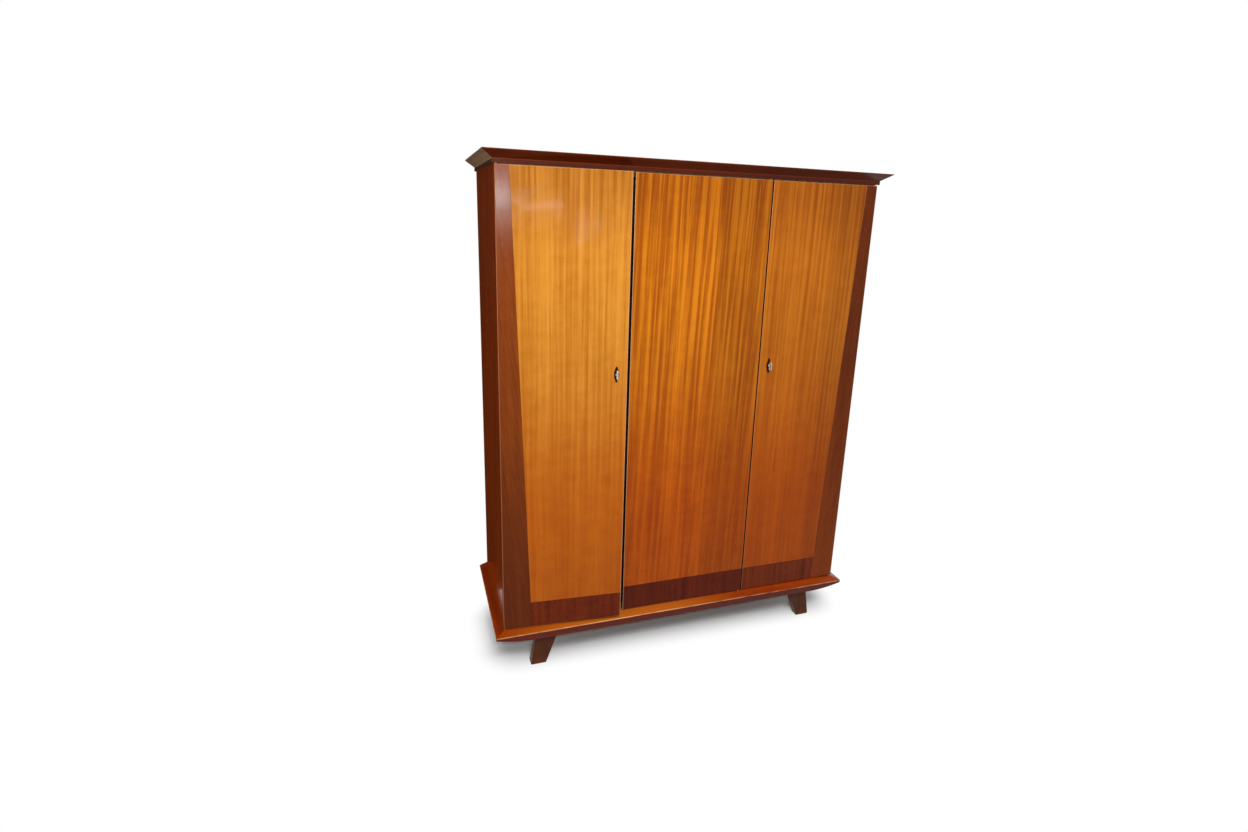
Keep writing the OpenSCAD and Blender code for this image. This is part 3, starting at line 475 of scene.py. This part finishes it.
low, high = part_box("hat_shelf_cleats")
cleat_thick = 0.02
cleat_places = []
for k in range(3):
    y = low.y + (high.y - low.y) * (0.12 + 0.38 * k)
    z = (low.z + high.z) / 2
    cleat_places += [((low.x + cleat_thick, y, z), (1, 0, 0)), ((high.x - cleat_thick, y, z), (-1, 0, 0))]
screws("cleat_screws", cleat_places, 0.0036, plated, "carcass")


# ---- Linen shelves ----
# Four loose boards that rest on turned brass pins, two at each end, in the narrow compartment.
# They carry the same pale veneer as the rest of the inside.

put_on(inner_wide, "shelf_1", "shelf_2", "shelf_3", "shelf_4")
brass = metal("turned_brass", tone(200, 158, 86), tone(128, 88, 40), 0.24, 33.0)
put_on(brass, "shelf_pins")


# ---- Doors ----
# Blockboard slabs faced with ribbon-striped mahogany, golden on the left door and redder on the others. A dark
# band crosses the foot, the outer doors have a tapered border, and their backs are pale and only varnished.
# Painted highlights, partly wear, run along the edges; painted shade darkens the heads and the edges where doors
# meet.

door_lows = {name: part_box(name)[0] for name in ("left_door", "centre_door", "right_door")}
door_highs = {name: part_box(name)[1] for name in ("left_door", "centre_door", "right_door")}
foot_z, head_z = door_lows["centre_door"].z, door_highs["centre_door"].z
joints = {joint["name"]: joint for joint in frame["joints"]}
band_z = foot_z + 0.1
border_top, border_band = 0.046, 0.1
side_door_width, meeting_gap = 0.442, 0.017
outer_left = door_lows["centre_door"].x - meeting_gap - side_door_width
outer_right = door_highs["right_door"].x
front_y = door_lows["centre_door"].y
door_thick = door_highs["centre_door"].y - front_y
ajar = math.radians(-joints["left_door_hinge"]["range_deg"][0])
left_axis = Vector(joints["left_door_hinge"]["pos_m"])


def shut(place):
    """A place on the left door, as it would be with the door shut."""
    turn = Matrix.Rotation(ajar, 3, "Z")
    moved = left_axis - turn @ left_axis
    return place.node("ShaderNodeMapping", {}, {"Vector": place, "Location": moved, "Rotation": (0, 0, ajar)})


foot_shade = (0.9, 0.55, 0.2, 1.0)


def veneered(name, place_of, x_low, x_high, border_side, pale, deep, seed, contrast, ribbon_width, slant,
             worn, shaded, border_foot, border_head, band_pale, band_deep):
    """A door's finish: its edges, the side of its tapered border (-1, 0 or 1), its field's tones and figure,
    how strong its pale edge band is at left and right (a painted highlight on the arris, partly wear), and the
    shades of its leaves, border and band."""
    material, raw = start_finish(name)
    place = place_of(raw)
    x, z = place.part(0), place.part(2)

    bend = place.drawn_out((0.05, 0.2, 0.8), seed, 1.5, 0.5)
    leaning = place.node("ShaderNodeMapping", {}, {"Vector": place, "Rotation": (0, slant, 0)})
    grain_x = leaning.part(0)
    ribbon = ((grain_x * (2 * math.pi / ribbon_width) + bend * 11.0).math("SINE") * 0.5 + 0.5)
    patchy = place.drawn_out((0.05, 0.1, 0.4), seed + 6, 2.0, 0.5).above(0.5, 0.16)
    streak = leaning.drawn_out((0.007, 0.05, 0.5), seed + 7, 3.0, 0.6, 0.3)
    stripe = leaning.drawn_out((0.016, 0.05, 1.1), seed + 9, 2.5, 0.6).above(0.5, 0.09)
    leaf = place.drawn_out((0.07, 0.2, 2.5), seed + 1, 1.0, 0.4)
    fibre = place.drawn_out((0.0016, 0.02, 0.15), seed + 2, 3.0, 0.6)
    cross = place.drawn_out((0.05, 0.05, 0.035), seed + 3, 2.0, 0.5)
    pore = place.drawn_out((0.0007, 0.002, 0.012), seed + 4, 1.0, 0.5).above(0.67, 0.05)
    blotch = place.drawn_out((0.2, 0.2, 0.35), seed + 5, 3.0, 0.55)
    lively = z.above(0.85, 0.45) * 0.6 + z.above(head_z - 0.16, 0.12) * 0.6 + 0.4
    depth = (ribbon - 0.5) * patchy * 0.6 + (streak - 0.5) * 1.8 + (stripe - 0.5) * 0.4
    depth = depth * lively * contrast + (leaf - 0.5) * 0.6
    depth = depth + (fibre - 0.5) * 0.5 + (cross - 0.5) * 0.35 + (blotch - 0.5) * 0.5 + pore * 0.3 + 0.5
    field = depth.above(0.5, 0.6).tint(pale, deep)
    # Darker towards the foot. Near the head, a painted shadow of the cornice darkens the field.
    foot_tone_and_head_shadow = z.above(0.93, 0.42).tint(foot_shade, (1.0, 1.0, 1.0, 1.0))
    foot_tone_and_head_shadow = (z.above(head_z - 0.16, 0.16) * 0.8).tint(foot_tone_and_head_shadow, (0.68, 0.62, 0.55, 1.0))
    field = multiply(field, foot_tone_and_head_shadow)
    right_leaf = x.above(x_low + (x_high - x_low) * 0.62, 0.03) * shaded
    field = multiply(field, right_leaf.tint((1.0, 1.0, 1.0, 1.0), (0.6, 0.58, 0.5, 1.0)))

    border_figure = dark_figure(place, 2, seed + 8)[0]
    lean = place.node("ShaderNodeMapping", {}, {"Vector": place, "Rotation": (0, -0.16 * border_side, 0)})
    swirl = lean.drawn_out((0.006, 0.05, 0.16), seed + 12, 2.5, 0.6, 0.6)
    border_figure = border_figure * 0.55 + swirl * 0.45
    border = border_figure.above(0.5, 0.34).tint(tone(154, 72, 16), tone(102, 38, 4))
    border = multiply(border, z.above(0.75, 0.45).tint(border_foot, border_head))
    band_figure = dark_figure(place, 2, seed + 16)[0]
    band = band_figure.above(0.5, 0.3).tint(band_pale, band_deep)

    above_band = z.above(band_z, 0.0003)
    colour = above_band.tint(band, field)
    seam = 1.0 - (z - band_z).math("ABSOLUTE").above(0.0005, 0.0003)
    ripple, dull = 0.0024, 0.07
    if border_side:
        edge = x_low if border_side < 0 else x_high
        slope = (border_band - border_top) / (head_z - band_z)
        inner = (x - edge) * -border_side - (head_z - z) * slope
        in_field = inner.above(border_top, 0.0003)
        ripple, dull = in_field * 0.0018 + 0.0006, 0.18 - in_field * 0.11
        colour = in_field.tint(border, colour)
        seam = seam * in_field + (1.0 - (inner - border_top).math("ABSOLUTE").above(0.0005, 0.0003))
    colour = (seam * 0.55).tint(colour, tone(60, 22, 6))
    to_side = (x - x_low).math("MINIMUM", x_high - x)
    to_end = (z - foot_z).math("MINIMUM", head_z - z)
    edge_breakup = place.drawn_out((0.012, 0.012, 0.03), seed + 20, 4.0, 0.7)
    # The pale edge band on sides and ends is a painted highlight on the rounded arrises, partly real wear.
    side_glint_and_wear = x.above((x_low + x_high) / 2, 0.05) * (worn[1] - worn[0]) + worn[0]
    arris_glint_and_wear = (1.0 - to_side.above(0.0026, 0.0004)) * side_glint_and_wear
    arris_glint_and_wear = arris_glint_and_wear.math("MAXIMUM", (1.0 - to_end.above(0.0019, 0.0004)) * 0.7)
    colour = (arris_glint_and_wear * (edge_breakup * 0.6 + 0.55)).tint(colour, tone(228, 182, 136))
    behind = place.part(1) - front_y
    inside = behind.above(door_thick - 0.0018, 0.0004)
    # Cut faces: mahogany on the hinge side and near black on the meeting side, where the dark is painted shade
    # in the joint.
    cut = x.above((x_low + x_high) / 2, 0.05) * border_side + (1.0 if border_side < 0 else 0.0)
    cut = cut.tint(tone(40, 16, 6), tone(140, 58, 12))
    colour = (behind.above(0.0006, 0.0003) * (1.0 - inside)).tint(colour, cut)
    plain = (leaf - 0.5) * 0.3 + (streak - 0.5) * 0.8 + (fibre - 0.5) * 0.5 + (blotch - 0.5) * 0.5 + 0.5
    colour = inside.tint(colour, plain.above(0.5, 0.4).tint(tone(206, 160, 108), tone(168, 118, 70)))
    nick = place.drawn_out((0.012, 0.02, 0.0012), seed + 21, 1.0, 0.5).above(0.80, 0.02)
    scratch = place.drawn_out((0.0008, 0.02, 0.025), seed + 22, 1.0, 0.5).above(0.80, 0.02)
    mark = nick.math("MAXIMUM", scratch)
    colour = (mark * 0.4).tint(colour, tone(226, 170, 110))

    haze = place.drawn_out((0.15, 0.15, 0.25), seed + 23, 3.0, 0.6)
    wave = place.drawn_out((0.1, 0.1, 0.12), seed + 24, 1.5, 0.3)
    return close_finish(material, {
        "Base Color": colour,
        "Roughness": haze * 0.03 + pore * 0.08 + arris_glint_and_wear * 0.1 + mark * 0.2 + inside * 0.35 + dull,
        "Specular IOR Level": 0.09,
        "Normal": relief(raw, wave * ripple - pore * 0.00003 - mark * 0.00005)})


white = (1.0, 1.0, 1.0, 1.0)
centre_low, centre_high = door_lows["centre_door"].x, door_highs["centre_door"].x
put_on(veneered(
    "left_door_veneer", shut, outer_left, outer_left + side_door_width, border_side=-1,
    pale=tone(225, 149, 53), deep=tone(181, 102, 12), seed=101.0, contrast=0.48, ribbon_width=0.021, slant=0.0,
    worn=(0.35, 1.0), shaded=0.0, border_foot=(0.6, 0.53, 0.55, 1.0), border_head=(0.9, 0.92, 1.2, 1.0),
    band_pale=tone(126, 46, 2), band_deep=tone(75, 5, 0)), "left_door")
put_on(veneered(
    "centre_door_veneer", as_is, centre_low, centre_high, border_side=0,
    pale=tone(221, 129, 19), deep=tone(167, 81, 2), seed=141.0, contrast=1.0, ribbon_width=0.025, slant=-0.03,
    worn=(1.0, 0.15), shaded=0.5, border_foot=white, border_head=white,
    band_pale=tone(112, 35, 1), band_deep=tone(66, 4, 0)), "centre_door")
put_on(veneered(
    "right_door_veneer", as_is, door_lows["right_door"].x, outer_right, border_side=1,
    pale=tone(206, 118, 27), deep=tone(165, 83, 3), seed=181.0, contrast=0.7, ribbon_width=0.021, slant=-0.01,
    worn=(0.3, 0.15), shaded=0.4, border_foot=(0.95, 0.85, 0.7, 1.0), border_head=(0.56, 0.5, 0.5, 1.0),
    band_pale=tone(132, 51, 2), band_deep=tone(79, 9, 0)), "right_door")


# ---- Pivot hinges ----
# Brass plates let flush into the cornice, the base and the ends of the doors. A pin stands out of each fixed
# plate into a bush in the door, and the lower one has a shoulder that carries the door's weight.

put_on(brass, "left_door_pins", "centre_door_pins", "right_door_pins",
       "left_door_sockets", "centre_door_sockets", "right_door_sockets")
base_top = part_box("base_front")[1].z
head_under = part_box("cornice_front")[0].z
near_screw, far_screw = 0.018, 0.043
plate_places = []
for joint, way in (("left_door_hinge", 1), ("centre_door_hinge", -1), ("right_door_hinge", -1)):
    x, y, z = joints[joint]["pos_m"]
    for reach in (near_screw, far_screw):
        plate_places.append(((x + way * reach, y, base_top), (0, 0, 1)))
        plate_places.append(((x + way * reach, y, head_under), (0, 0, -1)))
screws("hinge_plate_screws", plate_places, 0.0025, brass, "carcass")


# ---- Locks ----
# Each outer door has a japanned steel box lock screwed to its back, with a brass bolt that slides towards the
# free edge. The right lock's keeper is a brass plate let into the partition.

japanned = metal("japanned_steel", tone(34, 31, 29), tone(58, 50, 42), 0.34, 81.0, 0.35)
put_on(japanned, "left_lock_case", "right_lock_case")
put_on(brass, "left_lock_bolt", "right_lock_bolt", "lock_keeper")


# ---- Escutcheons and keys ----
# Long blunt ovals of dark bronze with a raised rim cover the keyholes, each held by two round-headed pins.
# The keys stay in the locks as pulls: an open bow, a collar and a round shank, in aged brass.

bronze = metal("dark_bronze", tone(66, 42, 26), tone(30, 19, 12), 0.3, 91.0)
key_metal = metal("aged_key_metal", tone(224, 216, 200), tone(128, 112, 88), 0.42, 95.0)
put_on(bronze, "left_escutcheon", "right_escutcheon")
put_on(key_metal, "left_key", "right_key")

collar = turned([(0.0022, -0.0012), (0.003, -0.0011), (0.0036, -0.0005), (0.0036, 0.0005), (0.003, 0.0011),
                 (0.0022, 0.0012)], 20)
pin_reach, escutcheon_thick, rim_thick = 0.0215, 0.0012, 0.0024
pin_dome = turned([(0.0011, -0.0003), (0.0011, 0.0001), (0.0008, 0.0006), (0.0003, 0.0008)], 12)
for side in ("left", "right"):
    joint = joints[side + "_key_turn"]
    inward = Vector(joint["axis"]) * (1 if joint["axis"][1] > 0 else -1)
    keyhole = Vector(joint["pos_m"])
    if side == "right":
        keyhole.y = door_lows["right_door"].y
    outer = keyhole - inward * rim_thick
    gather(side + "_key_collars", collar,
           [facing(outer - inward * 0.0015, -inward), facing(outer - inward * 0.0046, -inward)],
           key_metal, side + "_key", smooth=True)
    gather(side + "_escutcheon_pins", pin_dome,
           [facing(keyhole - inward * escutcheon_thick + Vector((0, 0, z)), -inward)
            for z in (-pin_reach, pin_reach)],
           bronze, side + "_door", smooth=True)


# ---- Closing strip and door bolts ----
# A dark hardwood strip is screwed behind the free edge of the centre door and covers the open joint; its near
# black stain is painted shade that makes the joint read as a shadow line. Steel bolts with turned knobs slide in
# brass guides at its top and foot, into brass plates in the carcass.

# The strip's near black tone is painted shade in the joint.
put_on(lacquered("closing_strip_wood", as_is, 2, tone(78, 34, 14), tone(40, 15, 5), 111.0,
                 gloss=0.4, specular=0.15), "closing_strip")
put_on(brass, "bolt_guides", "bolt_keepers")
put_on(plated, "top_bolt", "bottom_bolt")
low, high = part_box("closing_strip")
strip_line, first_share, share_pitch = low.x + 0.017, 0.04, 0.184
strip_places = [((strip_line, high.y, low.z + (high.z - low.z) * (first_share + share_pitch * k)), (0, 1, 0))
                for k in range(6)]
screws("closing_strip_screws", strip_places, 0.0036, brass, "centre_door")
low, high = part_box("bolt_guides")
guide_plate_thick, screw_inset = 0.002, 0.0028
plate_face = low.y + guide_plate_thick
guide_places = []
for z in (high.z - 0.0195, high.z - 0.0335, low.z + 0.0195, low.z + 0.0335):
    for x in (low.x + screw_inset, high.x - screw_inset):
        guide_places.append(((x, plate_face, z), (0, 1, 0)))
screws("bolt_guide_screws", guide_places, 0.0018, brass, "centre_door")


# ---- Floor, light and view ----
# A plain pale floor keeps the shadow and fades into a white surround, which reflections also see. Soft lamps
# stand on all sides, and three small ones glint on the left door. A black pane at the rear left, met only by
# reflections, is what the left side mirrors, and so does any other surface that looks that way.

low, high = box_at_start
floor_z, reach = low.z, 14.0
mesh = bpy.data.meshes.new("floor")
mesh.from_pydata([(-reach, -reach, floor_z), (reach, -reach, floor_z), (reach, reach, floor_z),
                  (-reach, reach, floor_z)], [], [(0, 1, 2, 3)])
floor = bpy.data.objects.new("floor", mesh)
bpy.context.scene.collection.objects.link(floor)
floor_finish, place = start_finish("pale_floor")
floor.data.materials.append(floor_finish)
tree = floor_finish.node_tree


def seen_rays(value):
    """1 for what the view, a reflection or glass sees, and 0 for light that surfaces throw on each other."""
    path = value.node("ShaderNodeLightPath")
    glossy, glass = [Value(value.tree, path.socket.node.outputs[name])
                     for name in ("Is Glossy Ray", "Is Transmission Ray")]
    return path.math("MAXIMUM", glossy).math("MAXIMUM", glass)


paint = Value(tree, tree.nodes["Principled BSDF"].outputs[0])
close_finish(floor_finish, {"Base Color": (0.88, 0.88, 0.88, 1), "Roughness": 0.9, "Specular IOR Level": 0.0})
shadow_reach = (high.x - 0.12, high.y - 0.19, 9.0)
fade_at, fade_over = 0.118, 0.075
corner = place.node("ShaderNodeVectorMath", {"operation": "ABSOLUTE"}, {0: place})
corner = corner.node("ShaderNodeVectorMath", {"operation": "SUBTRACT"}, {0: corner, 1: shadow_reach})
corner = corner.node("ShaderNodeVectorMath", {"operation": "MAXIMUM"}, {0: corner, 1: (0.0, 0.0, 0.0)})
outwards = corner.node("ShaderNodeVectorMath", {"operation": "LENGTH"}, {0: corner}, 1)
bright = place.node("ShaderNodeEmission", {}, {"Color": (1, 1, 1, 1), "Strength": 1.0})
shown = paint.node("ShaderNodeMixShader", {}, {0: outwards.above(fade_at, fade_over), 1: paint, 2: bright})
dim = place.node("ShaderNodeBsdfDiffuse", {}, {"Color": (0.22, 0.22, 0.22, 1)})
both = paint.node("ShaderNodeMixShader", {}, {0: seen_rays(place), 1: dim, 2: shown})
tree.links.new(both.socket, tree.nodes["Material Output"].inputs["Surface"])

scene = bpy.context.scene
scene.world = bpy.data.worlds.new("surround")
scene.world.use_nodes = True
tree = scene.world.node_tree
air = Value(tree, tree.nodes["Background"].outputs[0])
brightness = seen_rays(air) * 0.8 + 0.2
tree.nodes["Background"].inputs["Color"].default_value = (1, 1, 1, 1)
tree.links.new(brightness.socket, tree.nodes["Background"].inputs["Strength"])

mesh = bpy.data.meshes.new("side_flag")
flag_y, flag_left, flag_right, flag_foot, flag_top = high.y + 0.03, -5.0, -0.6, 0.004, 5.0
corners = [(flag_left, flag_y, flag_foot), (flag_right, flag_y, flag_foot),
           (flag_right, flag_y, flag_top), (flag_left, flag_y, flag_top)]
mesh.from_pydata(corners, [], [(0, 1, 2, 3)])
flag = bpy.data.objects.new("side_flag", mesh)
scene.collection.objects.link(flag)
flag_finish, place = start_finish("black_card")
close_finish(flag_finish, {"Base Color": (0.01, 0.01, 0.01, 1), "Specular IOR Level": 0.0})
flag.data.materials.append(flag_finish)
flag.visible_camera = flag.visible_diffuse = flag.visible_shadow = flag.visible_transmission = False


def lamp(name, place, towards, width, depth, power, colour=(1.0, 1.0, 1.0)):
    """A flat lamp of this width and depth in metres, turned towards a place, with its power in watts."""
    data = bpy.data.lights.new(name, "AREA")
    data.color = colour
    data.shape, data.size, data.size_y, data.energy = "RECTANGLE", width, depth, power
    made = bpy.data.objects.new(name, data)
    made.location = place
    made.rotation_euler = (Vector(towards) - Vector(place)).to_track_quat("-Z", "Y").to_euler()
    scene.collection.objects.link(made)


lamp("soft_lamp", (0.3, -2.2, 3.3), (0.0, 0.0, 0.7), 2.4, 1.2, 21)
lamp("front_lamp", (-0.6, -2.6, 2.8), (-0.2, 0.0, 0.85), 1.2, 0.7, 49)
lamp("near_lamp", (-0.76, -2.45, 1.77), (-0.7, 0.0, 1.75), 0.06, 0.08, 13, (0.85, 0.96, 1.0))
lamp("sheen_lamp", (-0.51, -2.45, 1.71), (-0.5, 0.0, 1.7), 0.24, 0.015, 0.6)
lamp("low_sheen_lamp", (-0.2, -2.45, 1.6), (-0.4, 0.0, 1.6), 0.03, 0.16, 0.4)
lamp("left_lamp", (-3.4, -0.6, 1.1), (0.0, 0.0, 0.9), 2.6, 2.0, 34)
lamp("right_lamp", (3.4, -0.6, 1.6), (0.0, 0.0, 0.9), 2.4, 2.2, 26)
lamp("rear_lamp", (0.0, 3.2, 1.8), (0.0, 0.0, 0.9), 2.0, 1.6, 40)

camera_data = bpy.data.cameras.new("view")
camera = bpy.data.objects.new("view", camera_data)
scene.collection.objects.link(camera)
scene.camera = camera
camera.location = (-0.9830, -2.3782, 1.6548)
camera.rotation_euler = [math.radians(a) for a in (75.1984, -1.907, -19.0873)]
camera_data.sensor_width = 36.0
camera_data.lens = 18.908
camera_data.shift_x, camera_data.shift_y = -0.01057, -0.01905
scene.view_settings.view_transform = "Standard"
